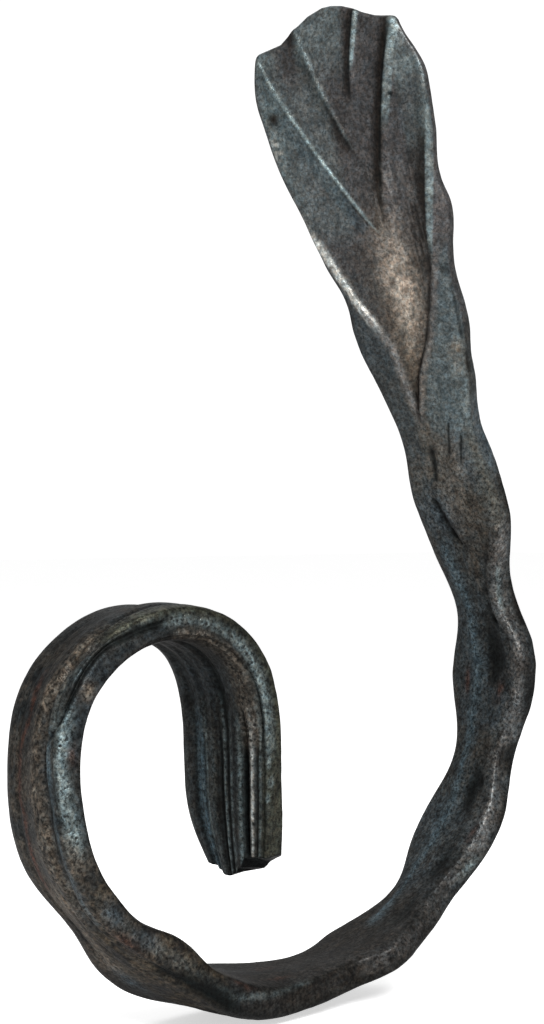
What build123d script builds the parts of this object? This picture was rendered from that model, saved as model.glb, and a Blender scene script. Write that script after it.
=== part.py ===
from build123d import *
import bisect
import math
import os

# Forged scroll end: one moulded iron bar, curled flat-wise into a spiral and drawn out at its
# free end into a thin veined leaf.  The spiral lies in the XZ plane and the bar's width runs
# along Y.  The near edge is the one towards -Y and the far edge the one towards +Y.
# Origin: centre of the plain cut end.  +Z is up, towards the leaf.  Millimetres.

# ---- driving dimensions ----
SECTION_STEP = 14.0       # distance between lofted cross sections, along the bar
SECTION_POINTS = 36       # points round one cross section
SQUARENESS = 0.36         # roundness of the edge beads (1 = ellipse, 0 = sharp rectangle)
REED_GROOVE_DEPTH = 0.17  # grooves beside the edge beads, as a part of the half thickness
REED_GROOVE_PLACE = 0.62  # where they run, as a part of the half width
REED_GROOVE_WIDTH = 0.11
REED_RIDGE_HEIGHT = 0.05  # broad ridge along the middle of both faces
LEAF_START = 652.0        # along the bar: where the mouldings begin to fade into the leaf
LEAF_FULL = 742.0         # and where the leaf is flat
TRIM_AT = 766.0           # the leaf's plane is taken here to trim its tip
TRIM_DEPTH = 40.0         # thickness of the block that trims the tip

# Stations along the middle of the bar, from the cut end to the leaf tip:
# x, z, twist (degrees, far edge towards the inside of the curl), width from the middle to the
# near edge, width from the middle to the far edge, thickness.
STATIONS = [
    (0.0, 0.0, 5, 19.0, 14.5, 12.0),
    (-2.5, 18.5, 10, 21.0, 21.0, 13.0),
    (-4.0, 41.5, 13, 21.5, 21.5, 13.0),
    (-6.5, 65.5, 12, 22.0, 21.5, 13.0),
    (-16.5, 85.5, 8, 21.5, 21.0, 13.5),
    (-40.0, 95.5, 3, 20.5, 20.5, 13.5),
    (-65.5, 88.5, 4, 20.5, 21.5, 13.5),
    (-82.5, 70.5, 6, 20.5, 22.5, 13.5),
    (-88.0, 42.5, 5, 21.0, 21.5, 13.0),
    (-83.0, 12.5, 2, 21.0, 21.0, 13.0),
    (-65.5, -12.5, -2, 19.5, 20.0, 13.0),
    (-40.5, -34.5, -14, 20.0, 21.5, 14.5),
    (-24.5, -43.5, -8, 20.5, 21.5, 15.0),
    (-7.5, -48.5, 1, 21.0, 21.5, 15.0),
    (27.5, -50.0, -3, 19.5, 19.5, 13.0),
    (61.5, -42.5, -7, 21.0, 20.5, 13.0),
    (94.5, -22.5, -8, 21.5, 20.0, 13.0),
    (119.0, 6.5, -5, 21.5, 20.5, 13.0),
    (133.0, 40.5, -2, 21.0, 20.5, 13.0),
    (138.0, 76.5, 0, 21.5, 21.5, 13.0),
    (130.5, 111.5, 3, 20.5, 20.5, 13.0),
    (115.5, 147.5, 10, 21.5, 22.0, 13.0),
    (99.5, 186.5, 20, 21.5, 20.0, 12.0),
    (84.0, 228.5, 23, 26.0, 26.5, 10.5),
    (69.5, 266.5, 23, 31.0, 34.5, 7.5),
    (58.5, 301.5, 23, 33.5, 44.5, 5.5),
    (53.5, 326.5, 23, 33.0, 46.5, 4.5),
    (52.0, 344.5, 23, 31.0, 44.0, 3.5),
]

# Hammer blows on the edges: place along the bar, depth, half length.  A blow narrows the bar
# there, and a negative depth is a bulge left between two blows.
NEAR_EDGE_BLOWS = [(392, -5.0, 20), (434, 4.0, 28), (499, 5.0, 30), (571, 9.0, 34), (642, 2.5, 24)]
FAR_EDGE_BLOWS = [
    (255, 5.0, 24),
    (373, 4.0, 24),
    (425, 10.5, 34),
    (497, 8.5, 36),
    (561, 5.0, 30),
    (640, 3.5, 30),
]

# Outline of the leaf tip in the leaf's own plane, from the near shoulder to the far shoulder:
# distance across (far side positive) and distance up from TRIM_AT.
TIP_OUTLINE = [
    (-40.0, 0.0),
    (-34.3, 4.0),
    (-33.3, 22.0),
    (-30.5, 37.5),
    (-26.6, 47.0),
    (-16.8, 50.5),
    (-5.3, 55.5),
    (3.0, 58.0),
    (9.5, 58.0),
    (16.0, 55.5),
    (22.0, 51.5),
    (24.5, 49.0),
    (28.0, 46.5),
    (33.0, 45.5),
    (38.2, 44.5),
    (40.0, 38.0),
    (44.0, 26.0),
    (52.0, 18.0),
]


def natural_spline(places, rows):
    """Return a function giving the natural cubic spline through rows at the places."""
    last = len(places) - 1
    gaps = [places[i + 1] - places[i] for i in range(last)]
    columns = []
    for column in zip(*rows):
        bends = [0.0] * (last + 1)
        ratios = [0.0] * (last + 1)
        for i in range(1, last):
            jump = (column[i + 1] - column[i]) / gaps[i] - (column[i] - column[i - 1]) / gaps[i - 1]
            pivot = 2 * (gaps[i - 1] + gaps[i]) - gaps[i - 1] * ratios[i - 1]
            ratios[i] = gaps[i] / pivot
            bends[i] = (6 * jump - gaps[i - 1] * bends[i - 1]) / pivot
        for i in range(last - 1, 0, -1):
            bends[i] -= ratios[i] * bends[i + 1]
        columns.append((column, bends))

    def evaluate(place):
        i = min(max(bisect.bisect_left(places, place) - 1, 0), last - 1)
        step = place - places[i]
        gap = gaps[i]
        values = []
        for column, bends in columns:
            rise = (column[i + 1] - column[i]) / gap - gap * (2 * bends[i] + bends[i + 1]) / 6
            cubic = (bends[i + 1] - bends[i]) / (6 * gap)
            values.append(column[i] + step * (rise + step * (bends[i] / 2 + step * cubic)))
        return values

    return evaluate


def station_places():
    """Chord length along the stations."""
    places = [0.0]
    for a, b in zip(STATIONS, STATIONS[1:]):
        places.append(places[-1] + math.hypot(b[0] - a[0], b[1] - a[1]))
    return places


PLACES = station_places()
LENGTH = PLACES[-1]
STATION_AT = natural_spline(PLACES, STATIONS)


def blows_at(place, blows):
    """Total depth of the blows at a place along the bar."""
    total = 0.0
    for middle, depth, half_length in blows:
        reach = min(abs(place - middle) / half_length, 1.0)
        total += depth * (0.5 + 0.5 * math.cos(math.pi * reach))
    return total


def smooth_step(value, start, end):
    """0 before start, 1 after end and an S curve between them."""
    t = min(max((value - start) / (end - start), 0.0), 1.0)
    return t * t * (3 - 2 * t)


def frame_at(place):
    """Middle of the bar, the directions along, across (to the far edge) and through it."""
    x, z, twist = STATION_AT(place)[:3]
    before = STATION_AT(max(place - 0.5, 0.0))
    after = STATION_AT(min(place + 0.5, LENGTH))
    along = Vector(after[0] - before[0], 0, after[1] - before[1]).normalized()
    inward = Vector(-along.Z, 0, along.X)
    turn = math.radians(twist)
    across = Vector(0, 1, 0) * math.cos(turn) + inward * math.sin(turn)
    through = inward * math.cos(turn) - Vector(0, 1, 0) * math.sin(turn)
    return Vector(x, 0, z), along, across, through


def signed_power(value, power):
    return math.copysign(abs(value) ** power, value)


def superellipse_point(k):
    """k-th point round a closed unit outline with rounded ends."""
    angle = 2 * math.pi * (k + 0.5) / SECTION_POINTS
    return signed_power(math.cos(angle), SQUARENESS), signed_power(math.sin(angle), SQUARENESS)


def section_parameters():
    """Spline parameters by the chord length round the plain bar, shared by every section."""
    _, _, _, near, far, thickness = STATIONS[2]
    total = 0.0
    parameters = [total]
    u, v = superellipse_point(0)
    for k in range(1, SECTION_POINTS + 1):
        next_u, next_v = superellipse_point(k)
        total += math.hypot((next_u - u) * (near + far) / 2, (next_v - v) * thickness / 2)
        parameters.append(total)
        u, v = next_u, next_v
    return parameters


PARAMETERS = section_parameters()


def section_at(place):
    """Closed cross section of the bar: edge beads, grooves beside them and a middle ridge."""
    near, far, thickness = STATION_AT(place)[3:]
    near -= blows_at(place, NEAR_EDGE_BLOWS)
    far -= blows_at(place, FAR_EDGE_BLOWS)
    leaf = smooth_step(place, LEAF_START, LEAF_FULL)
    centre, along, across, through = frame_at(place)
    points = []
    for k in range(SECTION_POINTS):
        u, v = superellipse_point(k)
        groove = math.exp(-(((abs(u) - REED_GROOVE_PLACE) / REED_GROOVE_WIDTH) ** 2))
        ridge = math.cos(math.pi * min(abs(u) / REED_GROOVE_PLACE, 1.0) / 2)
        relief = 1 + (1 - leaf) * (REED_RIDGE_HEIGHT * ridge - REED_GROOVE_DEPTH * groove)
        half_width = far if u > 0 else near
        points.append(centre + across * (u * half_width) + through * (v * relief * thickness / 2))
    return Face(Wire([Edge.make_spline(points, periodic=True, parameters=PARAMETERS)]))


def tip_waste():
    """Block of everything past the leaf's scalloped tip."""
    centre, along, across, through = frame_at(TRIM_AT)
    leaf_plane = Plane(origin=centre, x_dir=across, z_dir=through)
    up_sign = 1.0 if leaf_plane.y_dir.dot(along) > 0 else -1.0
    outline = [(w, up_sign * up) for w, up in TIP_OUTLINE]
    outline += [(90.0, up_sign * 18.0), (90.0, up_sign * 110.0)]
    outline += [(-90.0, up_sign * 110.0), (-90.0, 0.0)]
    face = leaf_plane * make_face(Polyline(outline, close=True))
    return extrude(face, amount=TRIM_DEPTH / 2, both=True)


section_count = round(LENGTH / SECTION_STEP)
sections = [section_at(LENGTH * i / section_count) for i in range(section_count + 1)]
bar = loft(sections)
scroll = bar - tip_waste()
solids = scroll.solids()
print("solids", len(solids), "valid", [s.is_valid for s in solids])
forged_scroll = max(solids, key=lambda s: s.volume)
forged_scroll.label = "forged_scroll"
print("length along the bar", round(LENGTH, 1), "volume", round(forged_scroll.volume, 1))

os.makedirs("parts", exist_ok=True)
export_step(forged_scroll, "parts/forged_scroll.step")
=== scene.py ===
import math

import bpy
import numpy as np
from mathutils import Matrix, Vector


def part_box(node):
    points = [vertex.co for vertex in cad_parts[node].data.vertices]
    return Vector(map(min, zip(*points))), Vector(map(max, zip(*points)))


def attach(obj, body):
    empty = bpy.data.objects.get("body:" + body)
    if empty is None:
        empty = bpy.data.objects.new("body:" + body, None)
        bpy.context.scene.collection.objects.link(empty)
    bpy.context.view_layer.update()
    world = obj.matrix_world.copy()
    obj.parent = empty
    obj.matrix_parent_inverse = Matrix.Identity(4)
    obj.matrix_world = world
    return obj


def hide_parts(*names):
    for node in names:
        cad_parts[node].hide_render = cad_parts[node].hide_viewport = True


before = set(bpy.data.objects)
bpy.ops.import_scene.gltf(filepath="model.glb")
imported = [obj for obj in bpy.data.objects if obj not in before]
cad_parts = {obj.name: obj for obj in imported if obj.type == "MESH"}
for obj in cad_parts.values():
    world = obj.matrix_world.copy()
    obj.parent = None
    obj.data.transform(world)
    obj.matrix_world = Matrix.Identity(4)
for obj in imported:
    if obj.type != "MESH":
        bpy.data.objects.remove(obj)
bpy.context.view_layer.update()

# Forged scroll end: one moulded bar curled into a spiral, hammered along its edges and drawn out
# into a veined leaf.  The bar is described along its length (s, mm from the cut end) and across
# its width (u, -1 at the near edge and +1 at the far edge).  The inner face of the curl is v > 0.

node_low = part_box("forged_scroll")[0]

MM = 0.001
# Points of the surface along the bar and round it
ROWS = 1240
COLUMNS = 336
# Along the bar: where it begins to turn into the leaf, and where it is all leaf
LEAF_START = 652.0
LEAF_FULL = 742.0

# x, z, twist (degrees), middle to near edge, middle to far edge, thickness: the bar's stations
STATIONS = np.array([
    (0.0, 0.0, 5, 19.0, 14.5, 12.0),
    (-2.5, 18.5, 10, 21.0, 21.0, 13.0),
    (-4.0, 41.5, 13, 21.5, 21.5, 13.0),
    (-6.5, 65.5, 12, 22.0, 21.5, 13.0),
    (-16.5, 85.5, 8, 21.5, 21.0, 13.5),
    (-40.0, 95.5, 3, 20.5, 20.5, 13.5),
    (-65.5, 88.5, 4, 20.5, 21.5, 13.5),
    (-82.5, 70.5, 6, 20.5, 22.5, 13.5),
    (-88.0, 42.5, 5, 21.0, 21.5, 13.0),
    (-83.0, 12.5, 2, 21.0, 21.0, 13.0),
    (-65.5, -12.5, -2, 19.5, 20.0, 13.0),
    (-40.5, -34.5, -14, 20.0, 21.5, 14.5),
    (-24.5, -43.5, -8, 20.5, 21.5, 15.0),
    (-7.5, -48.5, 1, 21.0, 21.5, 15.0),
    (27.5, -50.0, -3, 19.5, 19.5, 13.0),
    (61.5, -42.5, -7, 21.0, 20.5, 13.0),
    (94.5, -22.5, -8, 21.5, 20.0, 13.0),
    (119.0, 6.5, -5, 21.5, 20.5, 13.0),
    (133.0, 40.5, -2, 21.0, 20.5, 13.0),
    (138.0, 76.5, 0, 21.5, 21.5, 13.0),
    (130.5, 111.5, 3, 20.5, 20.5, 13.0),
    (115.5, 147.5, 10, 21.5, 22.0, 13.0),
    (99.5, 186.5, 20, 21.5, 20.0, 12.0),
    (84.0, 228.5, 23, 26.0, 26.5, 10.5),
    (69.5, 266.5, 23, 31.0, 34.5, 7.5),
    (58.5, 301.5, 23, 33.5, 44.5, 5.5),
    (53.5, 326.5, 23, 33.0, 46.5, 4.5),
    (52.0, 344.5, 23, 31.0, 44.0, 3.5),
])

# Hammer blows on the edges: place, depth, half length
NEAR_EDGE_BLOWS = [(392, -5.0, 20), (434, 4.0, 28), (499, 5.0, 30), (571, 9.0, 34), (642, 2.5, 24),
                   (686, -1.4, 16), (711, 1.6, 16), (733, -1.4, 14), (752, 1.8, 16), (818, 8.6, 30)]
FAR_EDGE_BLOWS = [(255, 5.0, 24), (373, 4.0, 24), (425, 10.5, 34), (497, 8.5, 36),
                  (561, 5.0, 30), (640, 3.5, 30), (683, -1.8, 20), (708, 1.8, 16), (786, 2.2, 28),
                  (818, 6.0, 30)]

# Where the leaf ends, from the near edge to the far edge: u, s
TIP_END = [(-1.0, 814.0), (-0.97, 815.4), (-0.8, 816.4), (-0.61, 817.4), (-0.39, 819.4),
           (-0.19, 821.6), (0.03, 823.6), (0.13, 824.2), (0.24, 824.0), (0.41, 821.6), (0.56, 817.6),
           (0.64, 815.0), (0.72, 812.4), (0.84, 811.4), (0.97, 810.4), (1.0, 809.5)]
TIP_WARP_START = 742.0

rng = np.random.default_rng(41)
NOISE_SIZE = 64
noise_lattice = rng.random((NOISE_SIZE, NOISE_SIZE, NOISE_SIZE))


def value_noise(points, wavelength, shift=0.0):
    """Smooth noise from -1 to 1 at 3-D points, with features of the given wavelength in mm."""
    p = points / wavelength + shift
    cell = np.floor(p).astype(int)
    f = p - cell
    f = f * f * (3 - 2 * f)
    total = 0.0
    for dx in (0, 1):
        wx = f[..., 0] if dx else 1 - f[..., 0]
        for dy in (0, 1):
            wy = f[..., 1] if dy else 1 - f[..., 1]
            for dz in (0, 1):
                wz = f[..., 2] if dz else 1 - f[..., 2]
                i, j, k = ((cell[..., a] + d) % NOISE_SIZE for a, d in ((0, dx), (1, dy), (2, dz)))
                total = total + wx * wy * wz * noise_lattice[i, j, k]
    return 2 * total - 1


def smooth_step(value, start, end):
    """0 before start, 1 after end and an S curve between them."""
    t = np.clip((value - start) / (end - start), 0.0, 1.0)
    return t * t * (3 - 2 * t)


def window(value, start, end, soft):
    """1 between start and end, falling to 0 over soft beyond them."""
    return smooth_step(value, start - soft, start) * (1 - smooth_step(value, end, end + soft))


def natural_spline(places, rows):
    """Natural cubic spline through rows at the places."""
    count = len(places)
    gaps = np.diff(places)
    matrix = np.eye(count)
    right = np.zeros_like(rows)
    for i in range(1, count - 1):
        matrix[i, i - 1:i + 2] = gaps[i - 1], 2 * (gaps[i - 1] + gaps[i]), gaps[i]
        right[i] = 6 * ((rows[i + 1] - rows[i]) / gaps[i] - (rows[i] - rows[i - 1]) / gaps[i - 1])
    bends = np.linalg.solve(matrix, right)

    def evaluate(place):
        i = np.clip(np.searchsorted(places, place) - 1, 0, count - 2)
        step = (place - places[i])[..., None]
        gap = gaps[i][..., None]
        rise = (rows[i + 1] - rows[i]) / gap - gap * (2 * bends[i] + bends[i + 1]) / 6
        cubic = (bends[i + 1] - bends[i]) / (6 * gap)
        return rows[i] + step * (rise + step * (bends[i] / 2 + step * cubic))

    return evaluate


PLACES = np.concatenate([[0.0], np.cumsum(np.hypot(*np.diff(STATIONS[:, :2], axis=0).T))])
LENGTH = PLACES[-1]
station_at = natural_spline(PLACES, STATIONS)


def blows_at(s, blows):
    """Total depth of the blows at places along the bar."""
    total = np.zeros_like(s)
    for middle, depth, half_length in blows:
        reach = np.clip(np.abs(s - middle) / half_length, 0.0, 1.0)
        total += depth * (0.5 + 0.5 * np.cos(np.pi * reach))
    return total


def bar_frame(s):
    """Middle of the bar and the directions along, across (to the far edge) and through it."""
    values = station_at(s)
    slope = station_at(s + 0.5) - station_at(s - 0.5)
    slope = slope[..., :2] / np.linalg.norm(slope[..., :2], axis=-1, keepdims=True)
    zero = np.zeros_like(s)
    centre = np.stack([values[..., 0], zero, values[..., 1]], -1)
    along = np.stack([slope[..., 0], zero, slope[..., 1]], -1)
    inward = np.stack([-slope[..., 1], zero, slope[..., 0]], -1)
    turn = np.radians(values[..., 2])[..., None]
    sideways = np.array([0.0, 1.0, 0.0])
    across = np.cos(turn) * sideways + np.sin(turn) * inward
    through = np.cos(turn) * inward - np.sin(turn) * sideways
    return centre, along, across, through, values


# ---- unit outline of the section, evenly spaced round the bar ----
SECTION_POWER = 5.6
PLAIN_HALF_WIDTH = 21.0
PLAIN_HALF_THICKNESS = 6.5
OUTLINE_SAMPLES = 40001


def unit_outline():
    """Points (u, v) of a rounded unit rectangle, evenly spaced on the plain bar's section."""
    angle = np.linspace(0, 2 * np.pi, OUTLINE_SAMPLES)
    u = np.sign(np.cos(angle)) * np.abs(np.cos(angle)) ** (2 / SECTION_POWER)
    v = np.sign(np.sin(angle)) * np.abs(np.sin(angle)) ** (2 / SECTION_POWER)
    steps = np.hypot(np.diff(u) * PLAIN_HALF_WIDTH, np.diff(v) * PLAIN_HALF_THICKNESS)
    length = np.concatenate([[0], np.cumsum(steps)])
    wanted = (np.arange(COLUMNS) + 0.5) / COLUMNS * length[-1]
    return np.interp(wanted, length, u), np.interp(wanted, length, v), wanted


outline_u, outline_v, outline_length = unit_outline()

# The first row is a rough cut and the last is the leaf's scalloped tip.  The cut's shift along
# the bar is given across the inner and the outer face, (u, mm), and fades out over CUT_FADE.
CUT_FADE = 14.0
INNER_CUT = [(-1.0, 5.4), (-0.9, 5.8), (-0.6, 5.6), (-0.46, 4.6), (-0.36, 1.0), (-0.26, 0.4),
             (-0.2, -1.6), (-0.06, -2.6), (0.04, -3.6), (0.3, -3.2), (0.52, -0.6), (0.8, 0.4),
             (1.0, 0.0)]
OUTER_CUT = [(-1.0, 5.0), (-0.92, 3.6), (-0.75, 2.2), (-0.6, 0.8), (-0.48, -1.0), (-0.36, -2.6),
             (-0.2, -3.4), (0.1, -4.0), (0.5, -1.5), (1.0, 0.0)]

row_s = np.linspace(0.0, LENGTH, ROWS)
row_grid = np.repeat(row_s[:, None], COLUMNS, axis=1)
u = np.repeat(outline_u[None, :], ROWS, axis=0)
v = np.repeat(outline_v[None, :], ROWS, axis=0)
# Distance round the section from the middle of the near edge, positive towards the outer face.
around = np.repeat(outline_length[None, :] - 0.5 * outline_length[-1], ROWS, axis=0)

inner_cut = np.interp(u, *np.array(INNER_CUT).T)
outer_cut = np.interp(u, *np.array(OUTER_CUT).T)
cut_shift = outer_cut + (inner_cut - outer_cut) * (0.5 + 0.5 * np.clip(v, -1, 1))
tip_end = np.interp(u, *np.array(TIP_END).T)
warp = np.clip((row_grid - TIP_WARP_START) / (LENGTH - TIP_WARP_START), 0, 1)
warped = TIP_WARP_START + warp * (tip_end - TIP_WARP_START)
s = np.where(row_grid > TIP_WARP_START, warped, row_grid)
s = s + cut_shift * (1 - smooth_step(row_grid, 0.0, CUT_FADE))

leaf = smooth_step(s, LEAF_START, LEAF_FULL)
centre, along, across, through, values = bar_frame(s)
near = values[..., 3] - blows_at(s, NEAR_EDGE_BLOWS)
far = values[..., 4] - blows_at(s, FAR_EDGE_BLOWS)
TIP_ROUNDING = 2.2
TIP_THINNING = 0.75
from_tip = np.clip(1 - (tip_end - s) / TIP_ROUNDING, 0, 1)
thickness = values[..., 5] * np.sqrt(1 - TIP_THINNING * from_tip ** 2)
half_width = np.where(u > 0, far, near)
w = u * half_width
points = centre + across * w[..., None] + through * (v * thickness / 2)[..., None]

# ---- relief: heights and depths in millimetres, outwards from the plain bar ----
# Masks of the inner face (the leaf's upper side), the outer face and the near edge
face = smooth_step(np.abs(v), 0.45, 0.9)
inner = face * (v > 0)
outer = face * (v < 0)
near_edge = 1 - smooth_step(np.abs(around), 9.0, 12.0)


def bell(distance, width):
    """1 at no distance, falling to 0.37 at the width."""
    return np.exp(-(distance / width) ** 2)


def profile(knots):
    """Height across a face, eased between (u, height) knots."""
    places, heights = np.array(sorted(knots)).T
    i = np.clip(np.searchsorted(places, u) - 1, 0, len(places) - 2)
    t = np.clip((u - places[i]) / (places[i + 1] - places[i]), 0, 1)
    return heights[i] + (heights[i + 1] - heights[i]) * t * t * (3 - 2 * t)


def on_path(path, width, fade=10.0):
    """Bell round a path of (s, around) points, fading past its ends."""
    places, arounds = np.array(sorted(path)).T
    return bell(around - np.interp(s, places, arounds), width) * window(s, places[0], places[-1], fade)


def dent(middle_s, middle_around, reach_s, reach_around):
    """Oval bell at a place along and round the bar."""
    return bell(np.hypot((s - middle_s) / reach_s, (around - middle_around) / reach_around), 1.0)


# Reeds of the straight inner end, the broader mouldings they run into round the curl, and the
# mouldings of the outer face: (u, height)
REEDS = [(1.0, 0.0), (0.84, 0.2), (0.70, 0.0), (0.60, -0.8), (0.54, -1.0), (0.47, -0.3), (0.40, -0.75),
         (0.34, -0.4), (0.22, -0.2), (0.10, -0.5), (0.03, -1.3), (-0.06, -0.4), (-0.13, -1.0),
         (-0.20, -0.4), (-0.40, 0.0), (-0.48, -0.4), (-0.54, -2.9), (-0.63, -0.6), (-0.69, -0.2),
         (-0.75, -0.4), (-0.79, -1.1), (-0.83, -0.5), (-0.87, -0.4), (-0.93, -1.0), (-1.0, 0.0)]
CURL_MOULDING = [(1.0, 0.0), (0.8, 0.2), (0.62, -0.8), (0.45, -0.1), (0.3, -0.6), (0.15, 0.1),
                 (0.02, -0.2), (-0.14, -1.5), (-0.3, -0.2), (-0.62, 0.5), (-0.8, 0.0), (-0.88, -1.0),
                 (-1.0, 0.0)]
OUTER_MOULDING = [(1.0, 0.0), (0.75, 0.1), (0.57, -0.3), (0.46, -0.9), (0.34, -0.4), (0.12, -0.5),
                  (0.04, -0.2), (-0.22, 0.6), (-0.42, 0.2), (-0.54, -1.1), (-0.66, -0.3),
                  (-0.76, -0.9), (-0.86, -0.3), (-1.0, 0.0)]
reeds_share = 1 - smooth_step(s, 38.0, 74.0)
curl_share = smooth_step(s, 38.0, 74.0) * (1 - 0.6 * smooth_step(s, 130.0, 200.0))
curl_share *= 1 - smooth_step(s, 225.0, 285.0)
outer_share = 0.3 + 0.7 * window(s, 130.0, 250.0, 30.0)
bar_share = 1 - smooth_step(s, 600.0, 660.0)
relief = inner * bar_share * (profile(REEDS) * reeds_share + profile(CURL_MOULDING) * curl_share)
relief += outer * bar_share * outer_share * profile(OUTER_MOULDING)

# Paths of the grooves worked along the bar beside the near bead: (s, around)
BEAD_GROOVE_RIGHT = [(50, -7.5), (59, -6.4), (69, -5.7), (77, -5.1), (86, -3.3), (96, -2.6),
                     (106, -2.0), (114, -2.0), (122, -4.0)]
BEAD_GROOVE_LEFT = [(126, 0.5), (139, 1.7), (146, 3.6), (153, 4.2), (164, 3.8), (171, 4.8), (175, 6.5),
                    (178, 10.0), (182, 14.0)]
LONG_GROOVE = [(134, 4.0), (146, 7.3), (152, 10.4), (156, 12.3), (163, 15.5), (173, 16.4), (187, 14.8),
               (203, 12.0), (219, 12.3), (228, 12.3), (245, 16.0)]
FACET_SIDE = [(178, 9.4), (187, 8.5), (196, 7.3), (202, 6.7), (209, 4.8), (215, 3.6), (232, 2.5)]
BOTTOM_VALLEY = [(276, 9.0), (288, 5.6), (294, 4.2), (301, 3.0), (309, 2.6)]
ROLL_GROOVE = [(238, 21.0), (245, 22.2), (253, 23.5), (262, 22.8)]
STEM_BEAD = [(389, -7.0), (395, -6.4), (412, -5.4), (423, -6.6), (435, -6.0), (449, -5.9), (457, -8.2),
             (466, -8.2), (475, -9.5), (487, -12.6), (497, -13.8), (504, -9.5), (512, -5.6), (526, -9.5),
             (539, -10.1), (551, -9.2), (556, -13.0), (560, -16.3), (571, -14.5), (579, -13.8),
             (596, -11.0)]
BLUE_RIDGE = [(408, -25.6), (439, -30.6), (452, -28.1), (476, -27.5), (492, -30.0), (514, -29.4),
              (535, -28.1), (546, -31.2), (562, -33.7), (574, -36.2), (590, -37.0)]
# path, width, depth
GROOVES = [(BEAD_GROOVE_RIGHT, 1.5, 1.1), (BEAD_GROOVE_LEFT, 1.3, 1.6), (LONG_GROOVE, 2.0, 1.5),
           (FACET_SIDE, 1.0, 0.5), (BOTTOM_VALLEY, 3.4, 1.7), (ROLL_GROOVE, 1.6, 0.9),
           (STEM_BEAD, 2.2, 0.7), (BLUE_RIDGE, 3.0, -0.4)]
for path, width, depth in GROOVES:
    relief -= depth * on_path(path, width)

# Hammer dents on the faces and the near bead: s, around, half length, half width, depth
DENTS = [(542, -17.5, 14, 6, 1.4), (556, -22.0, 12, 5, 0.7), (480, -17.0, 13, 5.5, 1.3),
         (441, -12.5, 11, 4.5, 1.2), (413, -12.5, 11, 4.5, 1.0), (519, -13.0, 7, 5, -0.5),
         (462, -12.0, 7, 4, -0.4), (559, -14.5, 2.0, 1.6, 0.9), (570, -3.0, 14, 4.5, 0.8),
         (500, -2.0, 16, 4.5, 0.7), (434, -1.0, 14, 4.5, 0.5), (196, 3.0, 20, 3.5, 0.5),
         (262, 8.0, 16, 6, 0.5), (670, -7.0, 3.0, 2.2, 0.6), (628, -6.0, 12, 4, 0.7),
         (599, -2.0, 3, 2, 0.5), (576, -1.0, 3, 2, 0.4), (42, -3.3, 2.6, 1.8, 0.4),
         (34, -2.0, 2.6, 1.8, 0.4), (28, -3.9, 2.2, 1.6, 0.3), (70, 0.0, 16, 4, 0.4),
         (278, -6.5, 12, 5.5, -1.8), (258, -6.5, 10, 5, 0.9), (301, -6.5, 9, 5, 1.2),
         (340, -8.0, 14, 6, 0.8), (188, -7.0, 16, 5, 0.8), (480, -8.5, 26, 2.6, 0.6)]
for middle_s, middle_around, reach_s, reach_around, depth in DENTS:
    relief -= depth * dent(middle_s, middle_around, reach_s, reach_around)

# ---- relief of the leaf, in its own plane: w across and s along ----


def across_line(start, end):
    """Signed distance from a line in (w, s), positive on its far side, and place along it."""
    (w0, s0), (w1, s1) = start, end
    length = math.hypot(w1 - w0, s1 - s0)
    place = ((w - w0) * (w1 - w0) + (s - s0) * (s1 - s0)) / length
    distance = ((w - w0) * (s1 - s0) - (s - s0) * (w1 - w0)) / length
    return distance, place / length


def step_vein(start, end, height, rise, drop):
    """Vein worked as a step: a slope that rises from the far side and drops on the near side."""
    distance, place = across_line(start, end)
    shape = np.where(distance > 0, bell(distance, rise), bell(distance, drop))
    return height * shape * smooth_step(place, -0.04, 0.2) * (1 - smooth_step(place, 1.05, 1.12))


# Root of the vein and its outer end in (w, s), height, width of the slope, width of the drop
VEINS = [((1.5, 731.0), (38.3, 802.9), 0.9, 4.6, 1.0),
         ((3.5, 766.0), (22.2, 816.4), 0.8, 3.4, 1.2),
         ((-0.2, 787.0), (-5.6, 821.0), 0.9, 3.2, 1.7),
         ((-1.4, 730.0), (-21.6, 813.0), 1.6, 3.8, 2.6),
         ((-17.5, 714.0), (-35.1, 790.0), 1.8, 4.6, 2.8)]
# Sides of the hollow at the leaf's foot: (s, w)
HOLLOW_FAR = [(650, 3.6), (655, 3.8), (684, 7.5), (696, 13.5), (705, 18.0), (721, 24.0), (737, 31.0),
              (750, 38.0)]
HOLLOW_NEAR = [(650, 3.4), (655, 3.4), (670, -1.0), (684, -8.5), (700, -14.2), (719, -20.0),
               (750, -26.0)]
hollow_far = np.interp(s, *np.array(HOLLOW_FAR).T)
hollow_near = np.interp(s, *np.array(HOLLOW_NEAR).T)
hollow_place = np.clip((w - hollow_near) / np.maximum(hollow_far - hollow_near, 0.6), 0, 1)
hollow_reach = window(s, 662.0, 716.0, 26.0) * smooth_step(s, 650.0, 662.0)
hollow = 4 * hollow_place * (1 - hollow_place) * hollow_reach
rim = bell(w - hollow_far - 1.0, 1.9) * window(s, 698.0, 748.0, 12.0)
near_ridge = bell(w - hollow_near + 1.2, 1.6) * window(s, 656.0, 716.0, 8.0)
near_crease = bell(w - hollow_near - 0.8, 1.3) * window(s, 654.0, 716.0, 8.0)

leaf_relief = -2.2 * hollow + 1.2 * rim + 0.5 * near_ridge - 0.5 * near_crease
for start, end, height, rise, drop in VEINS:
    leaf_relief += step_vein(start, end, height, rise, drop)
relief += inner * leaf_relief
PUNCH_W = -17.4
PUNCH_S = 784.5
from_punch = np.hypot(w - PUNCH_W, s - PUNCH_S)
relief -= (v > 0) * 1.2 * bell(from_punch, 0.9)

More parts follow.
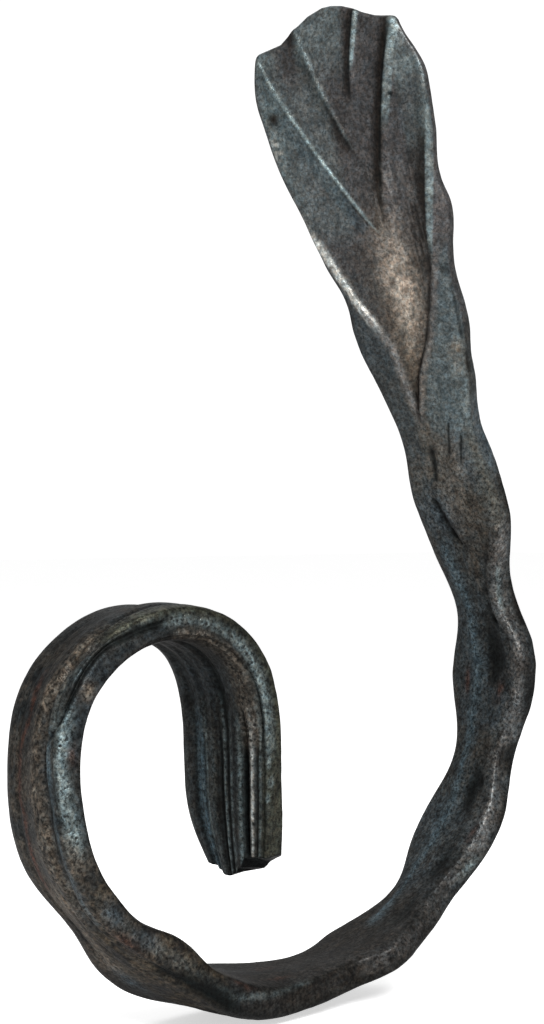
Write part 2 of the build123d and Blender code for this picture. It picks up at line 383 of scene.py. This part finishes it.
# Small creases where the stem turns into the leaf: ends in (w, s), width, depth
CREASES = [((-8.5, 647.0), (-6.0, 636.0), 0.7, 0.3), ((-13.0, 641.0), (-10.5, 631.0), 0.7, 0.3),
           ((2.6, 637.0), (3.2, 631.0), 1.6, 0.9), ((3.6, 629.5), (4.6, 624.0), 1.5, 0.8),
           ((8.5, 614.0), (4.0, 598.0), 1.5, 1.0), ((4.5, 600.0), (1.0, 594.0), 1.0, 0.6),
           ((-24.8, 712.0), (-23.5, 684.0), 0.9, 0.5)]
for start, end, width, depth in CREASES:
    distance, place = across_line(start, end)
    relief -= inner * depth * bell(distance, width) * window(place, 0.0, 1.0, 0.25)


def normals_of(grid):
    """Unit normals at the points of a grid whose columns close round."""
    along_rows = np.gradient(grid, axis=0)
    along_columns = np.roll(grid, -1, axis=1) - np.roll(grid, 1, axis=1)
    normal = np.cross(along_columns, along_rows)
    return normal / np.maximum(np.linalg.norm(normal, axis=-1, keepdims=True), 1e-9)


# The normals have to point outwards
normal = normals_of(points)
if np.mean(np.sum(normal * through, -1)[:, COLUMNS // 4]) < 0:
    normal = -normal
hammered = (0.26 * value_noise(points, 15.0) + 0.14 * value_noise(points, 6.0, 5.3)
            + 0.06 * value_noise(points, 2.4, 9.1))
scale_wear = value_noise(np.stack([s / 3.0, around, 0 * s], -1), 1.6, 2.7)
relief += hammered * (0.55 + 0.45 * near_edge) * (1 - 0.35 * leaf) + 0.03 * scale_wear
end_fade = smooth_step(tip_end - s, 0.0, 1.0) * 0.7 + 0.3
points = points + normal * (relief * end_fade)[..., None]

# ---- the mesh ----


def grid_mesh(name, grid):
    """Closed mesh of a grid in mm: quads round the bar and a row of quads across each end."""
    rows, columns = grid.shape[:2]
    mesh = bpy.data.meshes.new(name)
    index = np.arange(rows * columns).reshape(rows, columns)
    right = np.roll(index, -1, axis=1)
    quads = np.stack([index[:-1], right[:-1], right[1:], index[1:]], -1).reshape(-1, 4)
    half = columns // 2
    k = np.arange(half - 1)
    first = np.stack([k, columns - 1 - k, columns - 2 - k, k + 1], -1)
    last = (rows - 1) * columns + first[:, ::-1]
    faces = np.concatenate([quads, first, last])
    mesh.vertices.add(rows * columns)
    mesh.vertices.foreach_set("co", (grid.reshape(-1, 3) * MM).astype(np.float32).ravel())
    mesh.loops.add(faces.size)
    mesh.loops.foreach_set("vertex_index", faces.ravel().astype(np.int32))
    mesh.polygons.add(len(faces))
    mesh.polygons.foreach_set("loop_start", np.arange(0, faces.size, 4, dtype=np.int32))
    mesh.update(calc_edges=True)
    mesh.validate()
    mesh.polygons.foreach_set("use_smooth", np.ones(len(mesh.polygons), dtype=bool))
    return mesh


# ---- colour of the iron with painted light and shade, per vertex, in linear RGB ----
IRON = (0.036, 0.041, 0.042)
BRONZE = (0.050, 0.042, 0.033)
TAN = (0.150, 0.125, 0.098)
RUST = (0.056, 0.024, 0.016)
SLATE = (0.043, 0.057, 0.067)
PALE = (0.130, 0.165, 0.170)
DARK = (0.002, 0.003, 0.003)
BROWN = (0.012, 0.009, 0.007)
BURNISH_AND_SHEEN_TAN = (0.36, 0.31, 0.26)
WORN_IRON = (0.150, 0.146, 0.142)
BLUE = (0.055, 0.082, 0.098)
RUSTY = (0.044, 0.034, 0.022)
OLIVE = (0.026, 0.027, 0.020)
GREY_OLIVE = (0.062, 0.062, 0.054)
LEAF_IRON = (0.060, 0.058, 0.059)
# Painted highlight, for a reed's crest, the hollow's rim and glints on the leaf
PAINTED_HIGHLIGHT = (0.42, 0.43, 0.41)

rough_patch = value_noise(points, 7.0, 1.9)
fine_patch = value_noise(points, 1.7, 4.4)
streaks = value_noise(np.stack([s / 7.0, around, 0 * s], -1), 1.5, 6.2)
mottle = np.clip(0.5 + 0.9 * rough_patch + 0.5 * fine_patch, 0, 1)
ragged = np.clip(0.95 + 0.55 * rough_patch + 0.5 * fine_patch, 0, 1)

tint = np.zeros(s.shape + (3,)) + IRON
pitting = np.zeros(s.shape)


def paint(mask, colour, strength=1.0):
    """Cover the iron with a colour where the mask is 1."""
    share = np.clip(mask * strength, 0, 1)[..., None]
    tint[:] = tint * (1 - share) + np.array(colour) * share


paint(mottle, BRONZE, 0.55)
paint(np.clip(value_noise(points, 22.0, 8.8), 0, 1), SLATE, 0.8)
paint(np.clip(streaks, 0, 1) * bar_share, SLATE, 0.5)

# Painted shade and painted light along the bar: the curl and its bottom are darkened and the stem beside
# the leaf brightened: (s, share of the light kept)
LIGHT_AND_SHADE_ALONG_BAR = [(0, 0.42), (60, 0.42), (90, 0.34), (120, 0.34), (160, 0.42), (200, 0.45), (235, 0.32),
        (300, 0.36), (340, 0.42), (390, 0.5), (430, 0.9), (480, 0.95), (530, 0.7), (560, 0.65),
        (600, 0.75), (625, 1.4), (645, 1.4), (690, 0.8), (740, 0.8)]
tint *= np.interp(s, *np.array(LIGHT_AND_SHADE_ALONG_BAR).T)[..., None]
paint(leaf * (0.75 + 0.25 * mottle), LEAF_IRON, 0.95)

shaded = window(s, 262.0, 410.0, 50.0) + inner * window(s, 120.0, 300.0, 40.0)
paint(np.clip(shaded, 0, 1), BROWN, 0.6)

# Darker wherever the bar's relief is deep, and darkest in the deep groove of the straight reeds
deep = np.clip((-relief - 0.25) / 1.1, 0, 1) * (1 - leaf)
paint(deep, DARK, 0.85)
deep_reed = inner * bell(u + 0.545, 0.10) * reeds_share
paint(deep_reed, DARK, 1.6)

# Straight end: reeds with painted highlights on their crests, pale, bright and blue, and painted shade
# in their grooves: u, width, colour, strength
REED_COLOURS_LIGHT_AND_SHADE = [(0.84, 0.09, IRON, 0.6), (0.60, 0.05, DARK, 0.8), (0.50, 0.08, BLUE, 1.0),
                (0.36, 0.03, PALE, 0.4), (0.22, 0.07, PALE, 0.12), (0.10, 0.03, DARK, 0.6),
                (0.03, 0.03, DARK, 1.0), (-0.06, 0.025, PALE, 0.45), (-0.13, 0.03, DARK, 0.9),
                (-0.21, 0.035, PALE, 0.30), (-0.30, 0.03, DARK, 0.4), (-0.42, 0.05, PALE, 0.45),
                (-0.69, 0.035, PAINTED_HIGHLIGHT, 0.75), (-0.79, 0.022, DARK, 0.9),
                (-0.855, 0.028, PALE, 0.45), (-0.92, 0.03, DARK, 0.9)]
for place, width, colour, strength in REED_COLOURS_LIGHT_AND_SHADE:
    paint(inner * bell(u - place, width) * reeds_share, colour, strength)
straight_bead = (1 - smooth_step(s, 44.0, 64.0)) * bell(around, 6.0)
paint(straight_bead * (1.1 + 0.5 * fine_patch), OLIVE, 1.1)

# Paths of the worn and pitted places, of painted highlights and of painted shade: (s, around)
BEAD_TOP = [(58, -2.6), (67, -2.0), (75, -2.0), (85, -1.2), (97, -0.2), (109, 0.8), (118, 1.4)]
BEAD_RIGHT = [(50, -2.2), (62, -2.2), (72, -2.0)]
BEAD_FACET = [(176, 4.5), (187, 3.6), (197, 2.8), (209, 1.6), (214, 1.4)]
SMOOTH_LENS = [(158, 8.0), (164, 9.0), (170, 10.0), (176, 10.0)]
SLATE_REED = [(182, 11.6), (195, 10.0), (209, 9.0), (228, 8.4), (240, 10.0)]
TAN_RIDGE = [(146, 14.0), (157, 16.5), (163, 18.0), (173, 20.5), (195, 20.0), (207, 18.0), (232, 18.5),
             (242, 20.0)]
RUST_LINE = [(166, 30.0), (175, 28.5), (185, 33.5), (202, 33.8), (207, 30.5), (220, 31.5), (230, 32.2)]
MOTTLED_BOTTOM = [(222, 4.5), (236, 8.5), (247, 6.9), (257, 6.1), (266, 5.4), (275, 4.8), (284, 5.4)]
BOTTOM_DARK = [(280, 7.4), (288, 5.2), (294, 4.2), (301, 3.2), (309, 2.8)]
# Painted highlights on the bottom's ridge and along a line below its valley
BOTTOM_RIDGE_HIGHLIGHT = [(258, 1.0), (275, 0.6), (283, 0.8), (294, 0.2)]
BOTTOM_HIGHLIGHT = [(306, 0.4), (313, 0.3), (322, -2.4), (332, -3.9), (345, -5.7)]
TAN_ROLL = [(236, 26.0), (242, 27.2), (252, 28.4), (266, 30.9), (276, 30.3)]
TOP_RIDGE = [(52, -11.3), (66, -11.3), (75, -10.7), (85, -9.6), (100, -6.8), (112, -5.0)]
WORN_EDGE_UP = [(517, -2.8), (526, -5.2), (535, -6.6), (548, -5.2), (559, -6.0), (571, -5.4),
                (584, -3.6), (597, -2.8)]
WORN_EDGE_MIDDLE = [(459, -3.4), (470, -4.6), (482, -6.0), (494, -6.6), (502, -4.6), (507, -2.6)]
WORN_EDGE_LOW = [(384, -2.0), (396, -2.4), (408, -1.6), (430, -2.2), (449, -0.6), (455, 0.0)]
WORN_EDGE_TOP = [(578, -3.5), (590, -3.0), (606, -4.0)]
WORN_EDGE_LEAF = [(604, -4.0), (628, -6.0), (650, -7.0), (676, -7.5)]
# Painted shade, in olive, where the outer edge of the near bead on the curl turns away from the light
TOP_EDGE_SHADE = [(20, 4.0), (45, 4.2), (60, 4.6), (85, 5.6), (110, 6.2), (140, 7.6)]
# path, half width, colour, strength, pitting; the bottom ridge and bottom highlight rows are painted
# highlights, the top edge row painted shade
SURFACE_MARKS_AND_PAINTED_LIGHT = [(BEAD_RIGHT, 3.0, PALE, 0.5, 0.2), (BEAD_TOP, 2.4, PALE, 0.6, 0.9),
        (BEAD_FACET, 3.0, PALE, 0.85, 1.0), (SMOOTH_LENS, 2.2, PALE, 0.35, 0.0),
        (LONG_GROOVE, 2.2, SLATE, 0.7, 0.0), (LONG_GROOVE, 1.0, DARK, 0.7, 0.0),
        (SLATE_REED, 1.6, BLUE, 0.9, 0.1),
        (TAN_RIDGE, 7.0, BRONZE, 0.5, 0.6), (TAN_RIDGE, 3.4, TAN, 0.7, 0.9),
        (RUST_LINE, 1.6, RUST, 1.0, 0.35), (TOP_EDGE_SHADE, 4.4, OLIVE, 1.2, 0.0),
        (MOTTLED_BOTTOM, 7.0, TAN, 0.22, 0.9), (TAN_ROLL, 4.2, TAN, 0.4, 0.3),
        (BOTTOM_RIDGE_HIGHLIGHT, 2.2, PALE, 0.15, 0.5), (BOTTOM_HIGHLIGHT, 1.5, PALE, 0.2, 0.2),
        (TOP_RIDGE, 3.6, TAN, 0.3, 1.0), (BLUE_RIDGE, 3.6, BLUE, 0.65, 0.0),
        (WORN_EDGE_UP, 5.6, WORN_IRON, 0.38, 0.6), (WORN_EDGE_MIDDLE, 6.0, WORN_IRON, 0.42, 0.6),
        (WORN_EDGE_LOW, 4.0, WORN_IRON, 0.16, 0.6),
        (WORN_EDGE_TOP, 3.2, WORN_IRON, 0.4, 0.3), (WORN_EDGE_LEAF, 4.5, GREY_OLIVE, 0.8, 0.2),
        (BOTTOM_DARK, 4.0, DARK, 1.1, 0.0), (BEAD_GROOVE_LEFT, 1.7, DARK, 0.85, 0.0)]
# Painted shade along the outer side of the near bead, standing in for the shade of a rounder edge
bead_side_shade = bell(around - 5.0, 3.4) * window(s, 10.0, 620.0, 20.0)
paint(bead_side_shade * (0.8 + 0.5 * rough_patch), DARK, 0.65)
paint(outer * window(s, 165.0, 270.0, 25.0) * mottle, TAN, 0.22)
rusty_bend = window(s, 236.0, 300.0, 14.0) * window(around, -5.0, 24.0, 5.0)
paint(rusty_bend * np.clip(mottle * 1.3, 0, 1), RUSTY, 0.6)
for path, width, colour, strength, pits in SURFACE_MARKS_AND_PAINTED_LIGHT:
    mask = on_path(path, width) * (ragged if 0.3 < pits < 1 else 1)
    paint(mask, colour, strength)
    pitting = np.maximum(pitting, on_path(path, width * 1.2) * pits)

# Painted shade that dims the highlight along the crest of the stem's near bead
paint(bell(around + 9.0, 2.2) * window(s, 452.0, 506.0, 10.0), IRON, 0.6)
black_flecks = np.clip(0.1 + 1.6 * value_noise(points, 1.2, 7.7), 0, 1)
paint(on_path(TAN_RIDGE, 3.2) * black_flecks, DARK, 0.85)
paint(on_path(MOTTLED_BOTTOM, 6.0) * black_flecks, DARK, 0.6)

# Darker in the deeper dents and in two patches on the near bead: s, around, half length, half width
DARK_DENTS = [(542, -17.5, 15, 5), (480, -17.0, 14, 4.5), (498, -1.5, 8, 2.2), (535, -1.0, 10, 2.2),
              (441, -12.5, 12, 4), (413, -12.5, 11, 4)]
for oval in DARK_DENTS:
    paint(dent(*oval), DARK, 0.6)
stem = window(s, 440.0, 612.0, 12.0)
# Painted shade on the outer side of the near bead along the stem
paint(bell(around - 4.2, 2.2) * stem * (0.9 + 0.9 * rough_patch), DARK, 0.6)
paint(bell(around + 2.0, 9.0) * stem * np.clip(1.4 * rough_patch, 0, 1), BROWN, 0.6)

# Spots: s, around, half length, half width, colour, strength
SPOTS = [(162, -0.8, 3, 2.2, TAN, 0.8), (218, 3.6, 6, 2.5, TAN, 0.5), (259, 5.4, 7, 3, RUST, 0.7),
         (317, -4.5, 5, 1.2, RUST, 0.6), (345, -28.1, 5, 2, RUST, 0.4),
         (341, -13.8, 5, 1.5, RUST, 0.4), (529, -34.3, 5, 1.5, RUST, 0.8),
         (526, -13.8, 4, 2, RUST, 0.7), (460, -7.0, 4, 2, RUST, 0.7), (582, -20.0, 8, 3, BRONZE, 0.9),
         (612, -22.0, 14, 7, TAN, 0.35), (634, -18.0, 12, 5, TAN, 0.35),
         (604, -14.0, 10, 5, BRONZE, 0.8), (672, -3.5, 9, 3.4, DARK, 0.9),
         (524, 1.5, 9, 3.5, DARK, 0.9), (500, 1.5, 5, 3.0, DARK, 0.8), (412, -4.0, 7, 3.0, DARK, 0.6),
         (300, -12.0, 14, 5, RUSTY, 0.7), (402, -18.0, 10, 4, DARK, 0.6),
         (670, -7.0, 3.4, 2.4, TAN, 0.9), (42, -3.3, 2.0, 1.0, PALE, 0.9),
         (34, -2.0, 1.8, 1.4, PALE, 1.0), (28, -3.9, 1.4, 1.0, PALE, 0.8),
         (231, 9.2, 6, 3, SLATE, 0.8), (247, 1.0, 7, 3.5, SLATE, 0.8), (264, -0.2, 6, 3, SLATE, 0.7),
         (283, 31.5, 8, 4, SLATE, 0.8), (576, -3.0, 5, 1.8, PALE, 0.9), (568, -4.5, 5, 1.5, PALE, 0.8),
         (447, 1.1, 5, 2, PALE, 0.6), (559, -14.5, 1.8, 1.5, DARK, 1.0), (185, 0.0, 4, 2, RUST, 0.5)]
for middle_s, middle_around, reach_s, reach_around, colour, strength in SPOTS:
    paint(dent(middle_s, middle_around, reach_s, reach_around) * ragged, colour, strength)

# ---- colour of the leaf, with painted light and shade ----


def dent_leaf(middle_w, middle_s, reach_w, reach_s):
    """Oval bell at a place on the leaf."""
    return bell(np.hypot((w - middle_w) / reach_w, (s - middle_s) / reach_s), 1.0)


def paint_leaf(mask, colour, strength):
    """Cover the leaf's upper side with a colour where the mask is 1."""
    paint(inner * mask, colour, strength)


# Each vein has a painted highlight strip on its drop and painted shade on its slope.  Per vein: strength
# and width of the highlight strip, its first, last and widest place along the vein, strength and width
# of the painted shade.
VEIN_LIGHT_AND_SHADE = [(1.0, 0.9, 0.05, 1.05, 0.5, 0.6, 3.0), (0.25, 0.8, 0.1, 1.0, 0.5, 0.7, 3.6),
              (0.8, 1.7, 0.42, 1.05, 0.9, 0.8, 2.2), (0.6, 3.0, 0.62, 1.0, 0.85, 0.95, 3.0),
              (0.75, 2.6, 0.1, 1.0, 0.55, 0.7, 2.6)]


def paint_vein_light_and_shade(vein, vein_shading):
    """Painted shade on the slope and a painted highlight strip on the drop of one vein."""
    strength, width, first, last, widest, dark, dark_width = vein_shading
    distance, place = across_line(*vein[:2])
    paint_leaf(window(place, 0.05, 1.03, 0.08) * bell(distance - 1.6, dark_width), BROWN, dark)
    paint_leaf(window(place, 0.05, 0.95, 0.1) * bell(distance - 0.4, 0.7), DARK, dark)
    taper = width * np.clip(1.25 - np.abs(place - widest) / 0.7, 0.25, 1)
    strip = smooth_step(-distance, -0.2, 0.3) * (1 - smooth_step(-distance, taper, taper + 0.8))
    strip = strip * window(place, first, last, 0.15)
    paint_leaf(strip * (0.9 + 0.4 * fine_patch), PALE, strength)


for vein, vein_shading in zip(VEINS, VEIN_LIGHT_AND_SHADE):
    paint_vein_light_and_shade(vein, vein_shading)

# Blue beyond the far vein, painted shade beside the near vein, a painted highlight on the strip towards
# the near edge, and pale lobes
distance, place = across_line(*VEINS[0][:2])
paint_leaf(window(place, 0.1, 0.95, 0.1) * window(distance, 1.5, 5.0, 1.5), SLATE, 0.8)
distance, place = across_line(*VEINS[4][:2])
paint_leaf(window(place, 0.0, 0.6, 0.2) * window(distance, 1.0, 7.0, 2.5), BROWN, 0.5)
patchy = 0.8 + 0.6 * rough_patch
paint_leaf(smooth_step(s, 790.0, 812.0) * window(w, 3.0, 20.0, 4.0), PALE, 0.45)
paint_leaf(smooth_step(s, 746.0, 786.0) * window(-w, 22.0, 40.0, 3.0) * patchy, PALE, 0.5)
paint_leaf(smooth_step(s, 735.0, 760.0) * smooth_step(w, 26.0, 38.0) * patchy, PALE, 0.6)
paint_leaf(window(w, 14.0, 40.0, 6.0) * window(s, 740.0, 790.0, 12.0), PALE, 0.3)

# Burnished hollow with a painted sheen at its middle, and fine scratches above it
scratches = np.clip(0.2 + 1.6 * value_noise(np.stack([s / 9.0, w, 0 * s], -1), 0.9, 3.1), 0, 1)
paint_leaf(window(s, 722.0, 752.0, 9.0) * window(w, -18.0, -2.0, 4.0) * scratches, WORN_IRON, 0.4)
burnish = 0.75 + 0.5 * fine_patch
paint_leaf(hollow, BRONZE, 0.3)
paint_leaf(dent_leaf(-2.0, 705.0, 7.5, 24.0) * burnish, BURNISH_AND_SHEEN_TAN, 1.1)
paint_leaf(dent_leaf(2.0, 674.0, 5.0, 22.0) * burnish, TAN, 0.6)
paint_leaf(dent_leaf(6.0, 694.0, 3.0, 12.0), BROWN, 0.4)

# Rims of the hollow: a painted highlight along the upper far rim, worn iron on the lower far rim and the
# near ridge, a dark line inside the far rim and painted shade in the near crease
low_rim = bell(w - hollow_far - 1.0, 1.5) * window(s, 656.0, 698.0, 10.0)
far_line = bell(w - hollow_far + 1.8, 1.4) * window(s, 664.0, 716.0, 12.0)
paint_leaf(rim * (1.0 + 0.9 * fine_patch), PAINTED_HIGHLIGHT, 1.2)
paint_leaf(low_rim * ragged, WORN_IRON, 0.9)
paint_leaf(far_line, BROWN, 0.45)
paint_leaf(near_crease, BROWN, 0.9)
paint_leaf(near_ridge * ragged, WORN_IRON, 0.5)

# Single spots, among them painted glints beside the brown spot near the far edge, and the blue-grey iron
# outside the hollow
paint_leaf(dent_leaf(36.5, 785.0, 2.8, 2.8), BROWN, 1.0)
paint_leaf(dent_leaf(38.0, 773.0, 2.4, 6.0) * np.clip(0.3 + 1.6 * fine_patch, 0, 1), PAINTED_HIGHLIGHT, 0.8)
paint((v > 0) * bell(from_punch, 1.1), DARK)
outside_far = smooth_step(w - hollow_far, 2.0, 5.0) * window(s, 640.0, 730.0, 12.0)
outside_near = smooth_step(hollow_near - w, 2.0, 5.0) * window(s, 650.0, 712.0, 12.0)
paint_leaf(outside_far, SLATE, 0.35)
paint_leaf(outside_far, IRON, 0.5)
paint_leaf(outside_near, SLATE, 0.5)
paint_leaf(outside_near, PALE, 0.3)
paint_leaf(dent_leaf(-23.0, 711.0, 1.6, 3.2), DARK, 0.7)
paint_leaf(dent_leaf(-32.0, 748.0, 2.2, 9.0) * ragged, TAN, 0.8)
paint_leaf(dent_leaf(-20.3, 677.0, 3.4, 3.4) * ragged, TAN, 1.0)
for start, end, width, depth in CREASES:
    distance, place = across_line(start, end)
    paint_leaf(bell(distance, width) * window(place, 0.0, 1.0, 0.25), DARK, 0.8)

# The broken face of the cut end is painted near black
paint(row_grid < 0.1, DARK)

# Pale iron, both worn and painted as highlight, is the smoothest
pale_smoothness = 0.10 * np.clip(tint[..., 2] / 0.25, 0, 1)
roughness = np.clip(0.50 - pale_smoothness + 0.05 * rough_patch, 0.34, 0.62)

# ---- the piece ----
mesh = grid_mesh("scroll_surface", points)
mesh.set_sharp_from_angle(angle=math.radians(55))
scroll = bpy.data.objects.new("scroll_surface", mesh)
bpy.context.collection.objects.link(scroll)
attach(scroll, "root")
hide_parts("forged_scroll")


def vertex_colours(name, red, green, blue):
    """Store three values per vertex for the material to read."""
    layer = mesh.attributes.new(name, "FLOAT_COLOR", "POINT")
    packed = np.stack([red, green, blue, np.ones_like(red)], -1).astype(np.float32)
    layer.data.foreach_set("color", packed.ravel())


vertex_colours("tint", *np.moveaxis(tint, -1, 0))
vertex_colours("finish", roughness, pitting, bar_share)

# Scales of the material's fine patterns, per metre
GRAIN_SCALE = 750.0
BLOTCH_SCALE = 230.0
HUE_SCALE = 520.0
PIT_SCALE = 480.0
# Its bump in metres, its share of bare metal, and the colours that its hue and pits take
BUMP_DEPTH = 0.0006
METALLIC = 0.6
COOL = (0.93, 1.0, 1.04, 1)
WARM = (1.08, 0.99, 0.92, 1)
PIT_BLACK = (0.006, 0.006, 0.006, 1)


class Nodes:
    """Short names for adding and linking the nodes of one material."""

    def __init__(self, material):
        material.use_nodes = True
        self.tree = material.node_tree
        self.shader = self.tree.nodes["Principled BSDF"]

    def add(self, kind, inputs=(), **settings):
        node = self.tree.nodes.new(kind)
        for key, value in settings.items():
            setattr(node, key, value)
        for key, value in dict(inputs).items():
            self.set(node.inputs[key], value)
        return node

    def set(self, socket, value):
        if isinstance(value, bpy.types.NodeSocket):
            self.tree.links.new(value, socket)
        else:
            socket.default_value = value

    def noise(self, scale, detail=3.0, rough=0.6):
        node = self.add("ShaderNodeTexNoise", {"Vector": self.position, "Scale": scale,
                                               "Detail": detail, "Roughness": rough})
        return node.outputs["Fac"]

    def map(self, value, low, high, to_low, to_high):
        node = self.add("ShaderNodeMapRange", {"Value": value, "From Min": low, "From Max": high,
                                               "To Min": to_low, "To Max": to_high})
        return node.outputs["Result"]

    def math(self, operation, first, second):
        return self.add("ShaderNodeMath", {0: first, 1: second}, operation=operation).outputs[0]

    def mix(self, kind, share, first, second):
        node = self.add("ShaderNodeMix", data_type="RGBA", blend_type=kind)
        for key, value in ((0, share), (6, first), (7, second)):
            self.set(node.inputs[key], value)
        return node.outputs[2]

    def attribute(self, name):
        return self.add("ShaderNodeAttribute", attribute_name=name).outputs["Color"]


def forged_iron():
    """Grainy, blotched and pitted iron over the colours stored per vertex, which include painted light
    and painted shade.
    """
    material = bpy.data.materials.new("forged_iron")
    n = Nodes(material)
    n.position = n.add("ShaderNodeTexCoord").outputs["Object"]
    finish = n.add("ShaderNodeSeparateColor", {"Color": n.attribute("finish")}).outputs
    base_roughness, pitted, on_bar = finish["Red"], finish["Green"], finish["Blue"]
    grain = n.noise(GRAIN_SCALE, 3.0, 0.75)
    blotches = n.noise(BLOTCH_SCALE, 4.0, 0.65)
    hue = n.noise(HUE_SCALE, 2.0, 0.6)
    cells = n.add("ShaderNodeTexVoronoi", {"Vector": n.position, "Scale": PIT_SCALE})
    pits = n.map(cells.outputs["Distance"], 0.2, 0.42, 1.0, 0.0)
    pits = n.math("MULTIPLY", pits, pitted)
    pits = n.math("MULTIPLY", pits, n.map(blotches, 0.40, 0.52, 0.0, 1.0))

    warmth = n.mix("MIX", n.map(hue, 0.36, 0.64, 0.0, 1.0), COOL, WARM)
    colour = n.mix("MULTIPLY", 1.0, n.attribute("tint"), warmth)
    grain_light = n.map(grain, 0.36, 0.64, 0.2, 1.85)
    blotch_light = n.map(blotches, 0.36, 0.64, 0.5, 1.5)
    light = n.math("MULTIPLY", grain_light, blotch_light)
    # The pattern is weaker on the leaf than on the bar
    strength = n.math("ADD", n.math("MULTIPLY", on_bar, 0.35), 0.65)
    light = n.math("MULTIPLY", n.math("SUBTRACT", light, 1.0), strength)
    light = n.math("ADD", light, 1.0)
    shade = n.add("ShaderNodeCombineColor", {"Red": light, "Green": light, "Blue": light})
    colour = n.mix("MULTIPLY", 1.0, colour, shade.outputs[0])
    colour = n.mix("MIX", n.math("MULTIPLY", pits, 0.95), colour, PIT_BLACK)

    rough = n.math("ADD", base_roughness, n.map(grain, 0.3, 0.7, 0.06, -0.06))
    height = n.math("ADD", n.math("MULTIPLY", grain, 0.5), n.math("MULTIPLY", blotches, 0.9))
    height = n.math("SUBTRACT", height, n.math("MULTIPLY", pits, 0.9))
    bump = n.add("ShaderNodeBump", {"Height": height, "Strength": 0.7, "Distance": BUMP_DEPTH})
    n.set(n.shader.inputs["Base Color"], colour)
    n.set(n.shader.inputs["Roughness"], rough)
    n.set(n.shader.inputs["Normal"], bump.outputs["Normal"])
    n.shader.inputs["Metallic"].default_value = METALLIC
    n.shader.inputs["Specular IOR Level"].default_value = 0.35
    n.shader.inputs["Specular Tint"].default_value = (0.5, 0.5, 0.5, 1)
    return material


mesh.materials.append(forged_iron())

# ---- floor, light and camera: a white backdrop that lights the object only softly ----
WHITE = (1, 1, 1, 1)
FLOOR_COLOUR = (0.9, 0.9, 0.9, 1)
FLOOR_HALF = 6.0
FLOOR_MIDDLE_X = 0.02
FLOOR_GAP = 0.0005
FLOOR_GLOW = 0.58
BACKDROP_GLOW = 1.1
WORLD_LIGHT = 0.45
CAMERA_AZIMUTH = math.radians(-38.0)
CAMERA_DISTANCE = 0.7087
CAMERA_LENS = 63.28
SENSOR_WIDTH = 36.0
AIM = np.array([0.0155, 0.0, 0.1365])
# Soft lights: name, azimuth and elevation in degrees, distance and size in metres, power in watts
LIGHTS = [("key", -20, 38, 1.2, 0.5, 22), ("back_fill", 150, 50, 1.2, 0.6, 3.5)]


def seen_by_camera(tree, socket, seen, otherwise):
    """Set a strength to one value where the camera looks straight at it, and another elsewhere."""
    path = tree.nodes.new("ShaderNodeLightPath")
    strength = tree.nodes.new("ShaderNodeMapRange")
    strength.inputs["To Min"].default_value = otherwise
    strength.inputs["To Max"].default_value = seen
    tree.links.new(path.outputs["Is Camera Ray"], strength.inputs["Value"])
    tree.links.new(strength.outputs["Result"], socket)


def pale_floor():
    """Wide floor just under the scroll."""
    corners = [(x * FLOOR_HALF, y * FLOOR_HALF, 0) for x, y in ((-1, -1), (1, -1), (1, 1), (-1, 1))]
    floor_mesh = bpy.data.meshes.new("floor")
    floor_mesh.from_pydata(corners, [], [(0, 1, 2, 3)])
    floor = bpy.data.objects.new("floor", floor_mesh)
    floor.location = (FLOOR_MIDDLE_X, 0.0, node_low[2] - FLOOR_GAP)
    bpy.context.collection.objects.link(floor)
    material = bpy.data.materials.new("pale_floor")
    material.use_nodes = True
    shader = material.node_tree.nodes["Principled BSDF"]
    shader.inputs["Base Color"].default_value = FLOOR_COLOUR
    shader.inputs["Roughness"].default_value = 0.9
    shader.inputs["Emission Color"].default_value = WHITE
    seen_by_camera(material.node_tree, shader.inputs["Emission Strength"], FLOOR_GLOW, 0.0)
    floor_mesh.materials.append(material)
    return floor


def studio_backdrop():
    """World that is white to the camera."""
    world = bpy.data.worlds.new("studio")
    world.use_nodes = True
    backdrop = world.node_tree.nodes["Background"]
    backdrop.inputs["Color"].default_value = WHITE
    seen_by_camera(world.node_tree, backdrop.inputs["Strength"], BACKDROP_GLOW, WORLD_LIGHT)
    bpy.context.scene.world = world


def photo_camera():
    """Level camera at the photograph's viewing angle."""
    look = np.array([-math.sin(CAMERA_AZIMUTH), math.cos(CAMERA_AZIMUTH), 0.0])
    camera_data = bpy.data.cameras.new("camera")
    camera_data.lens = CAMERA_LENS
    camera_data.sensor_width = SENSOR_WIDTH
    camera = bpy.data.objects.new("camera", camera_data)
    camera.location = AIM - look * CAMERA_DISTANCE
    camera.rotation_euler = (math.radians(90), 0, CAMERA_AZIMUTH)
    bpy.context.collection.objects.link(camera)
    return camera


def area_light(name, azimuth, elevation, distance, size, power):
    """Square soft light aimed at the middle of the scroll."""
    light = bpy.data.lights.new(name, "AREA")
    light.size = size
    light.energy = power
    lamp = bpy.data.objects.new(name, light)
    a, e = math.radians(azimuth), math.radians(elevation)
    back = np.array([math.sin(a) * math.cos(e), -math.cos(a) * math.cos(e), math.sin(e)])
    lamp.location = AIM + back * distance
    lamp.rotation_euler = (math.radians(90) - e, 0, a)
    bpy.context.collection.objects.link(lamp)


floor = pale_floor()
studio_backdrop()
bpy.context.scene.camera = photo_camera()
for light in LIGHTS:
    area_light(*light)
bpy.context.scene.view_settings.view_transform = "Standard"
